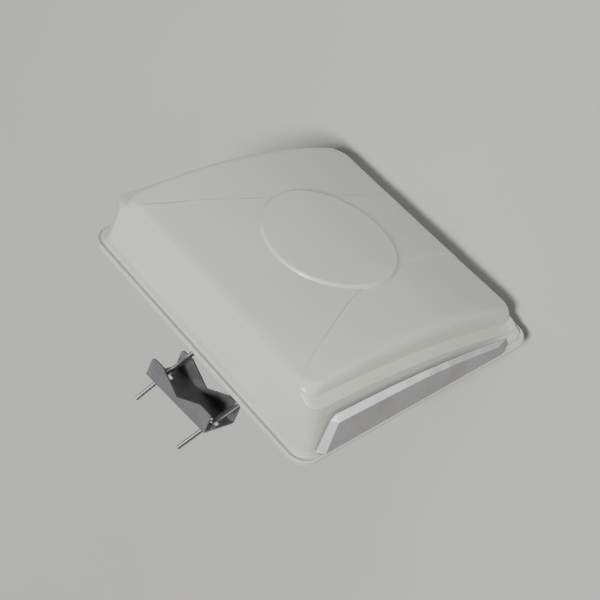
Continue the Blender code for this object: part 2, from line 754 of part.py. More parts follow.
def jaw_flange_outline():
    """Side flange of a jaw: web edge at y = 0, two rounded horns and the mast vee."""
    half = JAW_LENGTH / 2
    horn, top, vee = JAW_HORN, JAW_HEIGHT, JAW_VEE
    round_out, round_in = 5 * MM, 2.5 * MM
    points = [(-half, 0)]
    points += arc(-half + round_out, top - round_out, round_out, math.pi, math.pi / 2, 5)
    points += arc(-half + horn - round_in, top - round_in, round_in, math.pi / 2,
                  math.radians(28), 3)
    points.append((0, vee))
    points += arc(half - horn + round_in, top - round_in, round_in, math.radians(152),
                  math.pi / 2, 3)
    points += arc(half - round_out, top - round_out, round_out, math.pi / 2, 0, 5)
    points.append((half, 0))
    return points


def bolt_slot(x):
    """Slotted bolt hole centred at x, long way along the jaw."""
    quarter = math.pi / 2
    return (arc(x + HOLE_SLOT, 0, HOLE_RADIUS, -quarter, quarter, 8)
            + arc(x - HOLE_SLOT, 0, HOLE_RADIUS, quarter, 3 * quarter, 8))


def web_mesh(length, width, sheet):
    """Web of a jaw or of the yoke, standing in the XZ plane, with its two bolt slots."""
    half_x, half_z = length / 2, width / 2
    outline = [(-half_x, -half_z), (half_x, -half_z), (half_x, half_z), (-half_x, half_z)]
    slots = [bolt_slot(-BOLT_SPACING / 2), bolt_slot(BOLT_SPACING / 2)]
    mesh = plate_mesh([outline] + slots, sheet)
    mesh.transform(Matrix.Rotation(math.radians(90), 4, "X"))
    return mesh


def build_jaw(name, parent, facing):
    """Channel jaw, origin at the middle of its web; horns point to facing * Y."""
    web = web_mesh(JAW_LENGTH, JAW_WIDTH, JAW_SHEET)
    jaw = place(add_object(name, web, ZINC), parent)
    flange = plate_mesh([jaw_flange_outline()], JAW_SHEET)
    for side in (-1, 1):
        z = side * (JAW_WIDTH - JAW_SHEET) / 2
        turn = (0, 0, 0) if facing > 0 else (0, 0, math.pi)
        tool = cutter(f"{name}_flange_{side}", flange.copy(), parent, (0, 0, z), turn)
        boolean(jaw, tool, "UNION")


def build_clamp_bolt(side, x):
    """One long bolt leaning in its oversize holes, on an empty at its rocking axis."""
    rock = empty(f"rock_{side}", None, (x, ROCK_Y, 0), (0, 0, -BOLT_LEAN))
    head_gap = 6.6 * MM
    length = head_gap + JAW_TRAVEL + BOLT_TAIL - SEAT_TO_WEB - ROCK_Y
    bolt = bolt_mesh(BOLT_RADIUS, 10 * MM, 4 * MM, length, 24)
    bolt.transform(along((0, 1, 0)))
    thing = add_object(f"clamp_bolt_{side}", bolt, BRIGHT, smooth=True)
    place(thing, rock, (0, -head_gap, 0))
    return rock


def jaw_crossing(x):
    """Distance along the bolt at x, from its rocking axis to the outer jaw's web."""
    bolt = Vector((math.sin(BOLT_LEAN), math.cos(BOLT_LEAN)))
    web = Vector((math.cos(JAW_YAW), math.sin(JAW_YAW)))
    apart = Vector((-x, -SEAT_TO_WEB - ROCK_Y)) + JAW_TRAVEL * bolt
    return apart.cross(web) / bolt.cross(web)


def build_clamp_nut(side, rock, jaw_reach):
    """Washer beside the outer jaw, then spring washer and nut further down the thread."""
    nut_reach = jaw_reach + NUT_BACKSET[side]
    washer = ring_mesh(BOLT_RADIUS + GAP, 6 * MM, 1.2 * MM)
    spring = ring_mesh(BOLT_RADIUS + GAP, 5 * MM, 1.5 * MM)
    nut = nut_mesh(BOLT_RADIUS + GAP, 10 * MM, 5 * MM)
    stack = (("clamp_washer", washer, jaw_reach + WASHER_CLEAR),
             ("clamp_spring_washer", spring, nut_reach),
             ("clamp_nut", nut, nut_reach + 1.8 * MM))
    for name, mesh, reach in stack:
        mesh.transform(along((0, 1, 0)))
        place(add_object(f"{name}_{side}", mesh, BRIGHT), rock, (0, reach, 0))


def build_clamp():
    inner_web = Vector((0, -SEAT_TO_WEB, 0))
    build_jaw("inner_jaw", empty("inner_seat", None, inner_web), 1)
    offset = Vector((math.sin(BOLT_LEAN), math.cos(BOLT_LEAN), 0)) * JAW_TRAVEL
    seat = empty("outer_seat", None, inner_web + offset, (0, 0, JAW_YAW))
    build_jaw("outer_jaw", seat, -1)
    for side, sign in (("left", -1), ("right", 1)):
        x = sign * BOLT_SPACING / 2
        build_clamp_nut(side, build_clamp_bolt(side, x), jaw_crossing(x))


def build_all():
    tilt = empty("tilt_axis", None, PIVOT)
    panel = empty("panel_axes", tilt, (0, 0, 0), (-TILT, 0, 0))
    shift = empty("panel_origin", panel, (0, -PIVOT_PANEL_Y, -PIVOT_PANEL_Z))
    build_radome(shift)
    build_end_pad(shift)
    build_back(shift)
    build_cover_screws(shift)
    build_radiators(shift)
    feed_middle = build_feed(shift)
    build_connector(shift, feed_middle)
    build_vent(shift)
    build_base(shift)
    build_base_fasteners(shift)
    build_yoke(tilt)
    build_pivot_fasteners(tilt)
    build_clamp()


build_all()
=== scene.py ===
import json
import math

import bmesh
import bpy
from mathutils import Matrix, Vector


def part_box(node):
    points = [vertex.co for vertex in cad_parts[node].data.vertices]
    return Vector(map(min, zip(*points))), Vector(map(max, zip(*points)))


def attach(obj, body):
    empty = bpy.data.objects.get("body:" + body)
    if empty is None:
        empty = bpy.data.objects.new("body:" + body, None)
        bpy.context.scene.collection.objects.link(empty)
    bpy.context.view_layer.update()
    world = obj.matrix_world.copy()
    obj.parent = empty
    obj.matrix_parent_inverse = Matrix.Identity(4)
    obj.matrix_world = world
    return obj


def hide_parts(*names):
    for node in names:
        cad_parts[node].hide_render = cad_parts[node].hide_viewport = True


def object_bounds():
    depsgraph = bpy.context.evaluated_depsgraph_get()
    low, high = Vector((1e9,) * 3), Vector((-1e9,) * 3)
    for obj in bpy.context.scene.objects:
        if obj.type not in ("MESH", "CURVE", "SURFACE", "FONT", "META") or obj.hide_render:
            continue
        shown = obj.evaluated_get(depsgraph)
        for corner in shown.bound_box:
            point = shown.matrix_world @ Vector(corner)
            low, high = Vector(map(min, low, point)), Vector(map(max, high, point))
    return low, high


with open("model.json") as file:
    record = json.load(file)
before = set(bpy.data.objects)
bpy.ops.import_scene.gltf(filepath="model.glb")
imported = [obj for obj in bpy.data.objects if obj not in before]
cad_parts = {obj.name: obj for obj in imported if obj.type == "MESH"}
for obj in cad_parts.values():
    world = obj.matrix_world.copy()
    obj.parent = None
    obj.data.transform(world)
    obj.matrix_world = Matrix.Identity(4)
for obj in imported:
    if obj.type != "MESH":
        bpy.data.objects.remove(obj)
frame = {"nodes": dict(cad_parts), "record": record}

CAD_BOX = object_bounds()
NODES = frame["nodes"]
RECORD = frame["record"]
MM = 0.001


def joint(name):
    return next(j for j in RECORD["behaviour"]["joints"] if j["name"] == name)


def mount(name):
    return next(m for m in RECORD["mounts"] if m["name"] == name)


# ---------------------------------------------------------------- where things are

PIVOT = Vector(joint("panel_tilt")["pos_m"])
BACK_AXIS = mount("connector_face")["axis"]
TILT = math.atan2(BACK_AXIS[2], BACK_AXIS[1])
PANEL_OFFSET = Vector((0, -44.8, -76.7)) * MM
PANEL = (
    Matrix.Translation(PIVOT) @ Matrix.Rotation(TILT, 4, "X") @ Matrix.Translation(PANEL_OFFSET)
)
BOLT_AXIS = -Vector(joint("left_washer_slide")["axis"])
JAW_SHEET = 2.2
INNER_WEB_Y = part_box("inner_jaw")[0][1] + JAW_SHEET * MM / 2
JAW_YAW = math.radians(4.4)
JAW_TRAVEL = 104 * MM


# ---------------------------------------------------------------- materials

class Paint:
    """Small helper for building one node material."""

    def __init__(self, name, roughness, metallic=0.0, **extra):
        self.material = bpy.data.materials.new(name)
        self.material.use_nodes = True
        self.tree = self.material.node_tree
        self.shader = self.tree.nodes["Principled BSDF"]
        self.shader.inputs["Roughness"].default_value = roughness
        self.shader.inputs["Metallic"].default_value = metallic
        for key, value in extra.items():
            self.shader.inputs[key.replace("_", " ")].default_value = value
        self.where = self.tree.nodes.new("ShaderNodeTexCoord").outputs["Object"]

    def node(self, kind, **settings):
        made = self.tree.nodes.new(kind)
        for key, value in settings.items():
            setattr(made, key, value)
        return made

    def link(self, source, target):
        self.tree.links.new(source, target)

    def stretched(self, scale):
        mapping = self.node("ShaderNodeMapping")
        mapping.inputs["Scale"].default_value = scale
        self.link(self.where, mapping.inputs["Vector"])
        return mapping.outputs["Vector"]

    def noise(self, scale, detail=3.0, vector=None, roughness=0.5):
        made = self.node("ShaderNodeTexNoise")
        made.inputs["Scale"].default_value = scale
        made.inputs["Detail"].default_value = detail
        made.inputs["Roughness"].default_value = roughness
        self.link(vector or self.where, made.inputs["Vector"])
        return made.outputs["Fac"]

    def cells(self, scale):
        made = self.node("ShaderNodeTexVoronoi")
        made.inputs["Scale"].default_value = scale
        self.link(self.where, made.inputs["Vector"])
        return made.outputs["Color"]

    def spread(self, value, low, high, start=0.3, end=0.7):
        made = self.node("ShaderNodeMapRange")
        for key, number in (("From Min", start), ("From Max", end), ("To Min", low),
                            ("To Max", high)):
            made.inputs[key].default_value = number
        self.link(value, made.inputs["Value"])
        return made.outputs["Result"]

    def colours(self, value, *stops):
        made = self.node("ShaderNodeValToRGB")
        elements = made.color_ramp.elements
        while len(elements) < len(stops):
            elements.new(0.5)
        for element, (place, colour) in zip(elements, stops):
            element.position = place
            element.color = (*colour, 1.0)
        self.link(value, made.inputs["Fac"])
        self.link(made.outputs["Color"], self.shader.inputs["Base Color"])

    def rough(self, value, low, high):
        self.link(self.spread(value, low, high), self.shader.inputs["Roughness"])

    def bump(self, height, distance, strength, under=None):
        made = self.node("ShaderNodeBump")
        made.inputs["Strength"].default_value = strength
        made.inputs["Distance"].default_value = distance
        self.link(height, made.inputs["Height"])
        if under:
            self.link(under, made.inputs["Normal"])
        self.link(made.outputs["Normal"], self.shader.inputs["Normal"])
        return made.outputs["Normal"]

    def along(self, axis, pitch):
        """Repeating ridge, pitch metres apart along the axis."""
        dot = self.node("ShaderNodeVectorMath", operation="DOT_PRODUCT")
        dot.inputs[1].default_value = axis
        self.link(self.where, dot.inputs[0])
        scale = self.node("ShaderNodeMath", operation="MULTIPLY")
        scale.inputs[1].default_value = 1.0 / pitch
        self.link(dot.outputs["Value"], scale.inputs[0])
        wave = self.node("ShaderNodeMath", operation="PINGPONG")
        wave.inputs[1].default_value = 0.5
        self.link(scale.outputs["Value"], wave.inputs[0])
        return wave.outputs["Value"]


def radome_plastic(name, tone):
    paint = Paint(name, 0.32, Specular_IOR_Level=0.7)
    cloud = paint.noise(9.0, 4.0)
    paint.colours(cloud, (0.30, tuple(c * 0.955 for c in tone)), (0.55, tone),
                  (0.75, tuple(min(c * 1.03, 1) for c in tone)))
    paint.rough(paint.noise(55.0, 2.0), 0.29, 0.35)
    broad = paint.bump(paint.noise(28.0, 2.0), 0.0004, 0.2)
    paint.bump(paint.noise(1500.0, 1.0), 0.00002, 0.2, broad)
    return paint.material


def gloss_plastic(name, roughness, dark, middle, light, painted_fade_depth=0.0):
    """Clear-coated grey plastic, cloudy. Its dark, middle and light tones are painted light and
    reflection for one facet of the pad. The last argument makes it darker towards the pad's thin
    end, where the chamfer's painted reflection dies away.
    """
    paint = Paint(name, roughness, Specular_IOR_Level=0.5, Coat_Weight=0.35, Coat_Roughness=0.08)
    cloud = paint.noise(13.0, 4.0, paint.stretched((0.45, 1.0, 1.0)), 0.6)
    height = paint.node("ShaderNodeSeparateXYZ")
    paint.link(paint.where, height.inputs[0])
    # Painted highlight fade: the tone drops by up to the last argument towards the pad's thin end,
    # so the chamfer's painted reflection fades along it.
    painted_fade = paint.spread(height.outputs["Z"], -painted_fade_depth, 0.0, -0.040, 0.002)
    mix = paint.node("ShaderNodeMath", operation="ADD")
    paint.link(cloud, mix.inputs[0])
    paint.link(painted_fade, mix.inputs[1])
    paint.colours(mix.outputs["Value"], (0.26, dark), (0.44, middle), (0.62, light))
    paint.rough(paint.noise(60.0, 2.0), roughness, roughness + 0.08)
    paint.bump(paint.noise(45.0, 2.0), 0.0002, 0.12)
    return paint.material


def zinc_steel():
    """Galvanised sheet: soft spangle, faint drawing lines, dull scuffs."""
    paint = Paint("zinc_sheet", 0.45, 0.6)
    grey = paint.node("ShaderNodeRGBToBW")
    paint.link(paint.cells(190.0), grey.inputs["Color"])
    cloud = paint.noise(38.0, 5.0, None, 0.6)
    mix = paint.node("ShaderNodeMath", operation="ADD")
    paint.link(paint.spread(grey.outputs["Val"], -0.05, 0.05, 0.0, 1.0), mix.inputs[0])
    paint.link(cloud, mix.inputs[1])
    paint.colours(mix.outputs["Value"], (0.30, (0.15, 0.15, 0.162)), (0.52, (0.195, 0.195, 0.207)),
                  (0.74, (0.24, 0.236, 0.24)))
    paint.rough(mix.outputs["Value"], 0.42, 0.56)
    drawn = paint.noise(240.0, 3.0, paint.stretched((0.08, 1.0, 1.0)))
    under = paint.bump(drawn, 0.00003, 0.25)
    paint.bump(grey.outputs["Val"], 0.00002, 0.3, under)
    return paint.material


def bright_steel(name, tone=0.66, roughness=0.28, axis=None):
    """Plated steel, a little worn; with an axis it carries fine thread ridges."""
    paint = Paint(name, roughness, 1.0)
    wear = paint.noise(260.0, 4.0)
    paint.colours(wear, (0.3, (tone * 0.86,) * 3), (0.55, (tone,) * 3), (0.75, (tone * 1.1,) * 3))
    paint.rough(paint.noise(500.0, 3.0), roughness - 0.04, roughness + 0.06)
    under = paint.bump(paint.noise(900.0, 3.0), 0.00002, 0.3)
    if axis:
        paint.bump(paint.along(axis, 1.0 * MM), 0.00004, 0.2, under)
    return paint.material


def sheet_aluminium():
    paint = Paint("mill_aluminium", 0.35, 1.0)
    grain = paint.noise(300.0, 4.0, paint.stretched((0.05, 1.0, 1.0)))
    paint.colours(grain, (0.3, (0.62, 0.63, 0.64)), (0.7, (0.80, 0.81, 0.82)))
    paint.rough(grain, 0.28, 0.45)
    paint.bump(grain, 0.00005, 0.4)
    return paint.material


def rubber():
    paint = Paint("seal_rubber", 0.75)
    dust = paint.noise(60.0, 4.0)
    paint.colours(dust, (0.3, (0.018, 0.018, 0.018)), (0.75, (0.045, 0.044, 0.042)))
    paint.rough(paint.noise(200.0, 2.0), 0.62, 0.85)
    paint.bump(paint.noise(900.0, 2.0), 0.0001, 0.5)
    return paint.material


def plain_plastic(name, dark, light, low, high):
    paint = Paint(name, 0.5)
    paint.colours(paint.noise(80.0, 3.0), (0.3, dark), (0.7, light))
    paint.rough(paint.noise(150.0, 3.0), low, high)
    paint.bump(paint.noise(700.0, 2.0), 0.00005, 0.4)
    return paint.material


def brass_metal(name, dark, light, axis=None):
    paint = Paint(name, 0.28, 1.0)
    paint.colours(paint.noise(260.0, 3.0), (0.3, dark), (0.7, light))
    paint.rough(paint.noise(500.0, 2.0), 0.2, 0.36)
    under = paint.bump(paint.noise(900.0, 2.0), 0.00004, 0.4)
    if axis:
        paint.bump(paint.along(axis, 1.06 * MM), 0.0003, 0.5, under)
    return paint.material


RADOME = radome_plastic("radome_plastic", (0.595, 0.612, 0.56))
COVER = radome_plastic("cover_plastic", (0.56, 0.565, 0.53))
# The pad is one glossy piece. These three copies differ only in painted light: a painted dark
# reflection on the face, a painted white reflection on the chamfer, and painted half-light on the
# end facet.
PAD_FACE_DARK_REFLECTION = gloss_plastic("pad_face_painted_dark_reflection", 0.24, (0.20, 0.195, 0.19), (0.245, 0.24, 0.24),
                         (0.29, 0.285, 0.30))
PAD_CHAMFER_REFLECTION = gloss_plastic("pad_chamfer_painted_reflection", 0.14, (0.46, 0.46, 0.47), (0.78, 0.78, 0.81),
                            (0.98, 0.98, 1.0), 0.22)
PAD_SIDE_HALF_LIGHT = gloss_plastic("pad_side_painted_half_light", 0.18, (0.44, 0.44, 0.44), (0.52, 0.52, 0.53),
                         (0.62, 0.62, 0.64))
ZINC = zinc_steel()
BRIGHT = bright_steel("bright_steel")
CLAMP_THREAD = bright_steel("threaded_rod", 0.74, 0.30, tuple(BOLT_AXIS))
CLAMP_NUT = bright_steel("plated_nut", 0.30, 0.42)
ALUMINIUM = sheet_aluminium()
RUBBER = rubber()
WHITE = plain_plastic("white_insulator", (0.72, 0.72, 0.69), (0.84, 0.84, 0.82), 0.4, 0.6)
BOARD = plain_plastic("circuit_board", (0.02, 0.14, 0.06), (0.04, 0.22, 0.10), 0.3, 0.5)
JACKET = plain_plastic("cable_jacket", (0.012, 0.012, 0.012), (0.03, 0.03, 0.03), 0.35, 0.55)
BRASS = brass_metal("contact_brass", (0.62, 0.42, 0.17), (0.80, 0.60, 0.30))
NICKEL = brass_metal("nickel_plate", (0.60, 0.58, 0.54), (0.76, 0.74, 0.70), tuple(BACK_AXIS))


# ---------------------------------------------------------------- camera, light and floor

# The camera solved from the photograph: its three axes, its place in metres and its lens.
CAMERA_AXES = [
    Vector((-0.6302, -0.4073, -0.6610)),
    Vector((0.6489, -0.7438, -0.1604)),
    Vector((-0.4264, -0.5300, 0.7330)),
]
CAMERA_PLACE = Vector((-0.6008, -0.8592, 0.9824))
CAMERA_LENS = 77.26
CAMERA_SENSOR = 36.0
LIGHT_TARGET = (0, -0.12, -0.06)
FLOOR_REACH = 6.0
FLOOR_DROP = 0.02


def add_camera():
    data = bpy.data.cameras.new("camera")
    data.lens = CAMERA_LENS
    data.sensor_width = CAMERA_SENSOR
    camera = bpy.data.objects.new("camera", data)
    bpy.context.scene.collection.objects.link(camera)
    matrix = Matrix([axis.normalized() for axis in CAMERA_AXES]).transposed().to_4x4()
    matrix.translation = CAMERA_PLACE
    camera.matrix_world = matrix
    bpy.context.scene.camera = camera


def add_light(name, place, size, power, colour=(1, 1, 1)):
    """Square light facing the antenna."""
    data = bpy.data.lights.new(name, "AREA")
    data.shape = "SQUARE"
    data.size = size
    data.energy = power
    data.color = colour
    lamp = bpy.data.objects.new(name, data)
    bpy.context.scene.collection.objects.link(lamp)
    lamp.location = place
    lamp.rotation_euler = (Vector(LIGHT_TARGET) - Vector(place)).to_track_quat("-Z", "Y").to_euler()


def add_studio():
    add_light("key", (-2.2, -1.8, 7.25), 1.5, 780.0, (1.0, 0.99, 0.96))
    add_light("fill", (-0.35, -2.4, 0.7), 0.9, 13.0)
    add_light("side", (-1.5, 0.5, 0.3), 0.8, 1.0)
    add_light("rim", (0.9, 1.2, 0.9), 0.8, 4.0)
    world = bpy.data.worlds.new("studio")
    world.use_nodes = True
    sky = world.node_tree.nodes["Background"]
    sky.inputs["Color"].default_value = (0.99, 1.0, 0.98, 1.0)
    sky.inputs["Strength"].default_value = 0.08
    bpy.context.scene.world = world
    work = bmesh.new()
    bmesh.ops.create_grid(work, x_segments=1, y_segments=1, size=FLOOR_REACH)
    mesh = bpy.data.meshes.new("floor")
    work.to_mesh(mesh)
    work.free()
    floor = bpy.data.objects.new("floor", mesh)
    bpy.context.scene.collection.objects.link(floor)
    floor.location = (0, 0, CAD_BOX[0][2] - FLOOR_DROP)
    paint = Paint("pale_floor", 0.85)
    paint.colours(paint.noise(3.0, 3.0), (0.3, (0.47, 0.47, 0.465)), (0.7, (0.49, 0.49, 0.485)))
    mesh.materials.append(paint.material)


# ---------------------------------------------------------------- shape helpers

def add_piece(name, mesh, material, body, stands_for, matrix):
    mesh.materials.append(material)
    mesh.transform(matrix)
    thing = bpy.data.objects.new(name, mesh)
    bpy.context.scene.collection.objects.link(thing)
    mesh.shade_smooth()
    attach(thing, body)
    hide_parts(*stands_for)
    return thing


def grid_faces(work, loops):
    """Faces between each closed loop of vertices and the next."""
    for low, high in zip(loops, loops[1:]):
        for k in range(len(low)):
            n = (k + 1) % len(low)
            work.faces.new((low[k], low[n], high[n], high[k]))


def smooth_step(t):
    t = min(max(t, 0.0), 1.0)
    return t * t * (3 - 2 * t)


def through(points, t):
    """Point on a smooth curve through the given points, t from 0 to 1 along its chords."""
    points = [Vector(p) for p in points]
    lengths = [0.0]
    for a, b in zip(points, points[1:]):
        lengths.append(lengths[-1] + (b - a).length)
    want = t * lengths[-1]
    k = 0
    while k < len(points) - 2 and lengths[k + 1] < want:
        k += 1
    share = (want - lengths[k]) / (lengths[k + 1] - lengths[k])
    return spline(points[max(k - 1, 0)], points[k], points[k + 1],
                  points[min(k + 2, len(points) - 1)], share)


def spline(before, a, b, after, t):
    """Catmull-Rom step from a to b with centripetal spacing, without overshoot on short steps."""
    ta = max((a - before).length, 1e-9) ** 0.5
    tb = max((b - a).length, 1e-9) ** 0.5
    tc = max((after - b).length, 1e-9) ** 0.5
    out_a = ((a - before) / ta - (b - before) / (ta + tb) + (b - a) / tb) * tb
    into_b = ((b - a) / tb - (after - a) / (tb + tc) + (after - b) / tc) * tb
    if ta < 1e-4:
        out_a = b - a
    if tc < 1e-4:
        into_b = b - a
    t2, t3 = t * t, t * t * t
    return (a * (2 * t3 - 3 * t2 + 1) + out_a * (t3 - 2 * t2 + t)
            + b * (-2 * t3 + 3 * t2) + into_b * (t3 - t2))


def crisp_normals(thing, sharp_angle):
    """Keep flat areas flat in shading and let the small faces of the bends turn."""
    thing.data.set_sharp_from_angle(angle=math.radians(sharp_angle))
    crisp = thing.modifiers.new("crisp", "WEIGHTED_NORMAL")
    crisp.keep_sharp = True


def soften(thing, width, segments, limit=30):
    """Rounded edges that catch the light."""
    bevel = thing.modifiers.new("edge", "BEVEL")
    bevel.width = width
    bevel.segments = segments
    bevel.limit_method = "ANGLE"
    bevel.angle_limit = math.radians(limit)
    bevel.harden_normals = True


# ---------------------------------------------------------------- radome

DISC_RADIUS = 78.2
DISC_RISE = 3.4
DISC_PROFILE = [(77.6, 0.5), (76.0, 2.6), (75.2, 3.2)] + [
    (radius, DISC_RISE) for radius in (74.2, 60, 45, 30, 15, 5)
]
STEP = 1.4  # height of the raised sectors
STEP_HALF_WIDTH = 1.9
PROUD = 1.2  # height of the upper sector's edges, in steps
LOW_EDGE_X = 55.0  # where the lower sector's edges meet the shoulder
PULL_REACH = 75.0  # how far along the shoulder a curved edge bends its neighbours
TOP_SWOOSH = [(75, 22), (77, 31), (83.5, 50), (105, 100), (119, 132), (123, 139)]
LOW_SWOOSH = [(58.5, -52), (57, -64), (55.7, -83), (53, -114), (55, -152.5)]
CORNER_STEPS = 12
SIDE_STEPS = 26
CROWN_STEPS = 26
BIG_BEND = 5  # roundings longer than this get more steps
LIP_SECTION = (178.5, 170, 170, 19.5)  # inside of the rim's foot, in the order of RIM_ROWS
LIP_HEIGHTS = (-2.5, -5.5)


def crown(z):
    return 74.35 + 0.1551 * z - 0.000958 * z * z


def ledge(z):
    return 44.75 + 0.1891 * z - 0.000532 * z * z


def level(height):
    return lambda z: height


def below_crown(drop):
    return lambda z: crown(z) - drop


def over_ledge(rise, least):
    return lambda z: max(ledge(z) + rise, least)


# Each row is (half width, top, bottom, corner radius, heights at the ends, top and bottom,
# rounding), from the rim's foot up to the crown. The rounding is the length taken off each side of
# the corner. Heights are measured outwards from the flat of the rim.
RIM_ROWS = [
    (181, 172.5, 172.5, 22, level(-5.5), level(-5.5), level(-5.5), 0.3),
    (181, 172.5, 172.5, 22, level(0), level(0), level(0), 1.1),
    (179.0, 170.9, 171.4, 20.0, level(0), level(0), level(0), 0.5),
    (178.7, 170.6, 171.1, 19.8, level(-2.3), level(-2.3), level(-2.2), 0.3),
    (173.8, 166.1, 169.0, 16.0, level(-2.3), level(-2.3), level(-2.2), 0.5),
    (172.6, 165.3, 168.8, 15.4, level(1.2), level(1.2), level(1.0), 0.8),
]
SHELL_ROWS = [
    (171.4, 165.0, 168.7, 15.4, level(2.4), level(3.4), level(1.8), 0.8),
    (164.8, 162.7, 168.4, 15.0, lambda z: max(0.66 * ledge(z), 2.8), level(42), level(2.6), 1.2),
    (164.2, 162.0, 168.3, 14.5, lambda z: max(0.90 * ledge(z), 3.2), level(50), level(3.2), 0.8),
    (164.1, 161.2, 168.2, 14.0, over_ledge(-2.0, 3.6), level(58), level(4.0), 0.4),
    (164.6, 160.9, 168.0, 13.5, over_ledge(-0.4, 4.4), level(61), level(5.2), 0.6),
    (152.6, 160.2, 167.2, 13.5, over_ledge(2.6, 7.0), level(66), level(9.5), 1.0),
    (151.0, 158.6, 165.5, 14.0, below_crown(0.8), level(75), level(22.5), 13.5),
    (137.0, 139.0, 151.0, 18.0, below_crown(0), below_crown(0), below_crown(0), 0),
]


def ring_point(row, corner, kind, share):
    """Point (x, z, height) of a rounded ring: on a corner, or on the side that follows it."""
    half_x, top, bottom, radius, end_height, top_height, bottom_height = row[:7]
    sx, sz = ((1, 1), (-1, 1), (-1, -1), (1, -1))[corner]
    side_height = top_height if sz > 0 else bottom_height
    wide, high, low = half_x - radius, top - radius, radius - bottom
    if kind == "corner":
        angle = math.radians(90) * (corner + share)
        x = sx * wide + radius * math.cos(angle)
        z = (high if sz > 0 else low) + radius * math.sin(angle)
        toward_side = share if corner % 2 == 0 else 1 - share
        blend = smooth_step(toward_side)
        return Vector((x, z, end_height(z) * (1 - blend) + side_height(z) * blend))
    if corner == 0:
        return Vector((wide * (1 - 2 * share), top, top_height(top)))
    if corner == 1:
        z = high + (low - high) * share
        return Vector((-half_x, z, end_height(z)))
    if corner == 2:
        return Vector((-wide * (1 - 2 * share), -bottom, bottom_height(-bottom)))
    z = low + (high - low) * share
    return Vector((half_x, z, end_height(z)))


def spoke_list():
    """Spokes round the shell, with close pairs either side of each raised sector's edge.

    Each is (corner, kind, share, raise) where raise is 1 on the upper and lower sectors, 0 beside
    them and 0.5 on their edges.
    """
    crown_row = SHELL_ROWS[-1]
    wide = crown_row[0] - crown_row[3]
    edge = STEP_HALF_WIDTH / (2 * wide)
    at_low = 0.5 - LOW_EDGE_X / (2 * wide)
    turn = STEP_HALF_WIDTH / (crown_row[3] * math.pi / 2)
    spokes = []
    for corner in range(4):
        for k in range(CORNER_STEPS):
            spokes.append((corner, "corner", k / CORNER_STEPS, 0.0))
        if corner == 0:
            spokes.append((0, "corner", 1 - turn, 0.0))
            spokes.append((0, "side", 0.0, 0.5))
            spokes.append((0, "side", edge, 1.0))
            for k in range(1, SIDE_STEPS):
                spokes.append((0, "side", k / SIDE_STEPS, 1.0))
            spokes.append((0, "side", 1 - edge, 1.0))
        elif corner == 2:
            for share in (at_low, 1 - at_low):
                sign = -1 if share < 0.5 else 1
                spokes.append((2, "side", share, 0.5))
                spokes.append((2, "side", share + sign * edge, 0.0))
                spokes.append((2, "side", share - sign * edge, 1.0))
            for k in range(SIDE_STEPS):
                share = k / SIDE_STEPS
                gap = min(abs(share - at_low), abs(share - 1 + at_low))
                if gap > 0.6 / SIDE_STEPS:
                    spokes.append((2, "side", share, 1.0 if at_low < share < 1 - at_low else 0.0))
        else:
            for k in range(SIDE_STEPS):
                spokes.append((corner, "side", k / SIDE_STEPS, 0.0))
    for k, spoke in enumerate(spokes):
        if spoke[:3] == (1, "corner", 0.0):
            spokes[k] = (1, "corner", 0.0, 0.5)
    spokes.append((1, "corner", turn, 0.0))
    return sorted(spokes, key=lambda spoke: spoke[:3])


def swooshes(spokes):
    """The four edges of the raised sectors as (spoke number, curve from disc to shoulder)."""
    edges = [k for k, spoke in enumerate(spokes) if spoke[3] == 0.5]
    top_left, low_left = ([(-x, z) for x, z in curve] for curve in (TOP_SWOOSH, LOW_SWOOSH))
    return list(zip(edges, (TOP_SWOOSH, top_left, low_left, LOW_SWOOSH)))


def arc_lengths(points):
    lengths = [0.0]
    for a, b in zip(points, points[1:] + points[:1]):
        lengths.append(lengths[-1] + (b - a).length)
    return lengths


def disc_angles(lengths, edges):
    """Angle at which each spoke meets the disc, so that the edges start where they should."""
    total = lengths[-1]
    keys = [(lengths[k], math.atan2(curve[0][1], curve[0][0]) % math.tau) for k, curve in edges]
    keys.append((keys[0][0] + total, keys[0][1] + math.tau))
    angles = []
    for here in lengths[:-1]:
        if here < keys[0][0]:
            here += total
        for (a, start), (b, end) in zip(keys, keys[1:]):
            if a <= here <= b:
                angles.append(start + (end - start) * (here - a) / (b - a))
                break
    return angles


def crown_rings(spokes):
    """Rings from the shoulder in to the disc's foot; edges of the raised sectors follow spokes."""
    outer = [ring_point(SHELL_ROWS[-1], *spoke[:3]) for spoke in spokes]
    lengths = arc_lengths(outer)
    total = lengths[-1]
    edges = swooshes(spokes)
    angles = disc_angles(lengths, edges)
    rings = []
    for r in range(CROWN_STEPS + 1):
        share = r / CROWN_STEPS
        shifts = []
        for k, curve in edges:
            angle = angles[k]
            foot = Vector((math.cos(angle), math.sin(angle))) * DISC_RADIUS
            straight = foot.lerp(outer[k].to_2d(), 1 - share)
            shifts.append((lengths[k], through(curve, 1 - share) - straight))
        ring = []
        for spoke, point, angle, here in zip(spokes, outer, angles, lengths):
            foot = Vector((math.cos(angle), math.sin(angle))) * DISC_RADIUS
            spot = point.to_2d().lerp(foot, share)
            for there, shift in shifts:
                away = abs(here - there)
                away = min(away, total - away)
                spot += shift * smooth_step(1 - away / PULL_REACH)
            ring.append(Vector((spot.x, spot.y, crown(spot.y) + raise_by(spoke))))
        rings.append(ring)
    return rings, angles


def disc_rings(angles):
    rings = []
    for radius, rise in DISC_PROFILE:
        ring = []
        for angle in angles:
            x, z = radius * math.cos(angle), radius * math.sin(angle)
            ring.append(Vector((x, z, crown(z) + rise)))
        rings.append(ring)
    return rings


def raise_by(spoke):
    """Height of the crown along this spoke. The upper sector's edges stand a little proud."""
    steps_up = PROUD if spoke[3] == 0.5 and spoke[0] != 2 else spoke[3]
    return STEP * (steps_up - 0.5)


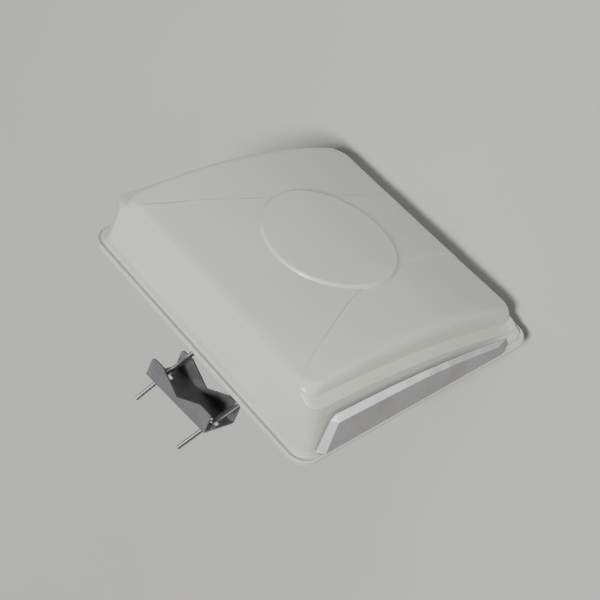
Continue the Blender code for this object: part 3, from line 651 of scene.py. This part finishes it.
def rounded(points, cuts, steps):
    """Smooth bend through the middle one of three points, keeping off the neighbours' bends."""
    before, point, after = points
    ends = []
    for other, cut in ((before, cuts[0]), (after, cuts[2])):
        away = other - point
        room = max(away.length - cut, away.length * 0.3)
        ends.append(point + away.normalized() * min(cuts[1], room))
    shares = [k / steps for k in range(steps + 1)]
    return [ends[0] * (1 - t) ** 2 + point * 2 * t * (1 - t) + ends[1] * t * t for t in shares]


def shell_rings(spokes):
    """Rings from the foot of the rim up the walls to the shoulder, each row's corner rounded."""
    rows = RIM_ROWS + SHELL_ROWS
    rings = []
    for k in range(1, len(rows) - 1):
        near = rows[k - 1:k + 2]
        steps = 9 if rows[k][7] > BIG_BEND else 3
        bends = []
        for spoke in spokes:
            points = [ring_point(row, *spoke[:3]) for row in near]
            if near[2] is rows[-1]:
                points[2] += Vector((0, 0, raise_by(spoke)))
            bends.append(rounded(points, [row[7] for row in near], steps))
        rings += [list(ring) for ring in zip(*bends)]
    return rings


def build_radome():
    spokes = spoke_list()
    inner_rings, angles = crown_rings(spokes)
    lip = [
        [ring_point((*LIP_SECTION, *[level(height)] * 3), *spoke[:3]) for spoke in spokes]
        for height in LIP_HEIGHTS
    ]
    rim = [ring_point(RIM_ROWS[0], *spoke[:3]) for spoke in spokes]
    rings = lip + [rim] + shell_rings(spokes) + inner_rings + disc_rings(angles)
    work = bmesh.new()
    loops = [
        [work.verts.new((x * MM, -h * MM, z * MM)) for x, z, h in ring] for ring in rings
    ]
    grid_faces(work, loops)
    centre = work.verts.new((0, -(crown(0) + DISC_RISE) * MM, 0))
    last = loops[-1]
    for k, vert in enumerate(last):
        work.faces.new((vert, last[(k + 1) % len(last)], centre))
    bmesh.ops.recalc_face_normals(work, faces=work.faces)
    mesh = bpy.data.meshes.new("radome_shell")
    work.to_mesh(mesh)
    work.free()
    shell = add_piece("radome_shell", mesh, RADOME, "panel", ["radome"], PANEL)
    crisp_normals(shell, 60)


# ---------------------------------------------------------------- gloss pad on the end wall

PAD_FOOT = 0.35  # how far the pad's lower edge is above the rim
PAD_HEEL = 2.3
PAD_FACE_X = 180.3
PAD_TOP_SHARE = 0.72  # height of the pad's top, as a share of the ledge's
PAD_COLUMNS = 12
PAD_STRIPS = 5  # strips of faces round the section, of which two carry painted light: a painted reflection on the chamfer and painted half-light on the end facet
CHAMFER_STRIP = 2
FACE_STRIP = 3


def pad_column(z, height, foot_z, face_z=None, face_top_z=None):
    """Section of the pad: three points up the end wall, then two down its face if it has one."""
    wall = 172.5 - 7.0 * height / ledge(z)
    root = (173.4, PAD_FOOT, foot_z)
    heel = (172.0, PAD_HEEL, foot_z + (z - foot_z) * PAD_HEEL / height)
    crest = (wall, height, z)
    if face_z is None:
        return [root, heel, crest, crest, root]
    chamfer = 4.6 + 1.6 * smooth_step((z + 40) / 150)
    return [root, heel, crest, (wall + 0.6 + chamfer, height - chamfer, face_top_z),
            (PAD_FACE_X, PAD_FOOT, face_z)]


def build_pad():
    def top(z):
        return PAD_TOP_SHARE * ledge(z) - 0.6

    columns = [pad_column(135, 37, 147.5), pad_column(128, top(128), 141, 139.5, 129)]
    for k in range(PAD_COLUMNS + 1):
        z = 118 - 240 * k / PAD_COLUMNS
        columns.append(pad_column(z, top(z), z, z, z))
    columns.append(pad_column(-140, top(-140), -140))
    work = bmesh.new()
    loops = [[work.verts.new((-x * MM, -h * MM, z * MM)) for x, h, z in c] for c in columns]
    grid_faces(work, loops)
    # Painted light by facet: the chamfer strip takes the painted reflection, the end column's face
    # strip the painted half-light, and all else the painted dark reflection of the face.
    for k, face in enumerate(work.faces):
        column, strip = divmod(k, PAD_STRIPS)
        if strip == CHAMFER_STRIP:
            face.material_index = 1
        elif strip == FACE_STRIP and column == 0:
            face.material_index = 2
    bmesh.ops.remove_doubles(work, verts=work.verts, dist=0.00001)
    bmesh.ops.dissolve_degenerate(work, edges=work.edges, dist=0.00001)
    bmesh.ops.holes_fill(work, edges=[e for e in work.edges if e.is_boundary])
    bmesh.ops.recalc_face_normals(work, faces=work.faces)
    mesh = bpy.data.meshes.new("gloss_pad")
    work.to_mesh(mesh)
    work.free()
    pad = add_piece("gloss_pad", mesh, PAD_FACE_DARK_REFLECTION, "panel", ["end_pad"], PANEL)
    # Slots 1 and 2 hold the chamfer's painted reflection and the end facet's painted half-light.
    mesh.materials.append(PAD_CHAMFER_REFLECTION)
    mesh.materials.append(PAD_SIDE_HALF_LIGHT)
    soften(pad, 0.9 * MM, 3, 18)


# ---------------------------------------------------------------- jaws of the mast clamp

JAW_BEND = 2.5  # outer radius of the bends
JAW_HALF_WIDTH = 24.3
JAW_HALF_LENGTH = 53
JAW_REACH = 30.0  # height of the flanges before their outline is cut
BOLT_X = 42.1
HOLE_RADIUS = 5.5
HOLE_STRETCH = 2.5  # half the distance between the round ends of a bolt slot
HOLE_SIDES = 24


def jaw_outline():
    """Side of a jaw in its own x, y: web below, two horns and the mast vee above."""
    def arc(cx, cy, radius, start, end, steps):
        turns = [math.radians(start + (end - start) * k / steps) for k in range(steps + 1)]
        return [(cx + radius * math.cos(t), cy + radius * math.sin(t)) for t in turns]

    horn = arc(-48.6, 21.0, 4.4, 180, 90, 6) + arc(-33.6, 23.9, 1.5, 90, 28, 4)
    left = [(-JAW_HALF_LENGTH, -3)] + horn
    vee = [(-1.2, 9.45), (0, 9.1), (1.2, 9.45)]
    return left + vee + [(-x, y) for x, y in reversed(left)]


def channel_section():
    """Closed U section in z, y: outside round the bends, then back along the inside."""
    side = JAW_HALF_WIDTH
    bends = []
    for radius, inset in ((JAW_BEND, 0.0), (JAW_BEND - JAW_SHEET, JAW_SHEET)):
        wall, base = side - inset, inset - JAW_SHEET / 2
        turn = [math.radians(15 * k) for k in range(7)]
        corner = [(wall - radius + radius * math.cos(t), base + radius - radius * math.sin(t))
                  for t in turn]
        half = [(wall, JAW_REACH)] + corner
        bends.append(half + [(-z, y) for z, y in reversed(half)])
    return bends[0] + bends[1][::-1]


def prism(name, outline, low, high, place):
    """Closed prism; place turns (a, b, depth) into a local point in millimetres."""
    work = bmesh.new()
    loops = [[work.verts.new(Vector(place(a, b, depth)) * MM) for a, b in outline]
             for depth in (low, high)]
    grid_faces(work, loops)
    work.faces.new(loops[0])
    work.faces.new(loops[1])
    bmesh.ops.recalc_face_normals(work, faces=work.faces)
    mesh = bpy.data.meshes.new(name)
    work.to_mesh(mesh)
    work.free()
    thing = bpy.data.objects.new(name, mesh)
    bpy.context.scene.collection.objects.link(thing)
    return thing


def bolt_slot(middle):
    outline = []
    for k in range(HOLE_SIDES):
        angle = math.tau * (k + 0.5) / HOLE_SIDES
        shift = math.copysign(HOLE_STRETCH, math.cos(angle))
        outline.append((middle + shift + HOLE_RADIUS * math.cos(angle),
                        HOLE_RADIUS * math.sin(angle)))
    return outline


def carve(thing, tool, operation):
    cut = thing.modifiers.new("cut", "BOOLEAN")
    cut.operation = operation
    cut.object = tool


def build_jaw(name, node, body, place, turn, facing):
    half = JAW_HALF_LENGTH
    jaw = prism(name, channel_section(), -half, half, lambda z, y, x: (x, facing * y, z))
    tools = [prism("side", jaw_outline(), -40, 40, lambda x, y, z: (x, facing * y, z))]
    tools += [prism("slot", bolt_slot(middle), -5, 5, lambda x, z, y: (x, y, z))
              for middle in (-BOLT_X, BOLT_X)]
    for tool, operation in zip(tools, ("INTERSECT", "DIFFERENCE", "DIFFERENCE")):
        carve(jaw, tool, operation)
    soften(jaw, 0.3 * MM, 2, 40)
    bpy.context.view_layer.update()
    depsgraph = bpy.context.evaluated_depsgraph_get()
    mesh = bpy.data.meshes.new_from_object(jaw.evaluated_get(depsgraph))
    for tool in tools + [jaw]:
        bpy.data.objects.remove(tool, do_unlink=True)
    matrix = Matrix.Translation(place) @ Matrix.Rotation(turn, 4, "Z")
    crisp_normals(add_piece(name, mesh, ZINC, body, [node], matrix), 32)


def build_jaws():
    inner = Vector((0, INNER_WEB_Y, 0))
    build_jaw("inner_jaw_sheet", "inner_jaw", "clamp", inner, 0.0, 1)
    build_jaw("outer_jaw_sheet", "outer_jaw", "outer_jaw", inner + BOLT_AXIS * JAW_TRAVEL,
              JAW_YAW, -1)


# ---------------------------------------------------------------- carried-over nodes

NODE_LOOKS = [
    (("clamp_bolt",), CLAMP_THREAD),
    (("clamp_",), CLAMP_NUT),
    (("radome",), RADOME),
    (("end_pad",), PAD_FACE_DARK_REFLECTION),
    (("back_cover",), COVER),
    (("rim_gasket", "connector_seal", "vent_plug"), RUBBER),
    (("base_bracket", "tilt_yoke", "inner_jaw", "outer_jaw"), ZINC),
    (("radiator_post", "connector_insulator"), WHITE),
    (("radiator", "reflector_plate"), ALUMINIUM),
    (("connector_body", "connector_nut"), NICKEL),
    (("connector_pin",), BRASS),
    (("feed_board",), BOARD),
    (("coax_jumper",), JACKET),
]
PRESSED_PIECES = ("base_bracket", "tilt_yoke", "back_cover")


def finish_nodes():
    """Material of each CAD node by the first line of NODE_LOOKS that its name starts with."""
    for name, thing in NODES.items():
        looks = [look for starts, look in NODE_LOOKS if name.startswith(starts)]
        for place in thing.material_slots:
            place.material = looks[0] if looks else BRIGHT
        if name in PRESSED_PIECES:
            soften(thing, 0.5 * MM, 2)
        elif name.startswith("clamp_bolt"):
            soften(thing, 0.3 * MM, 2, 50)


add_camera()
add_studio()
build_radome()
build_pad()
build_jaws()
finish_nodes()
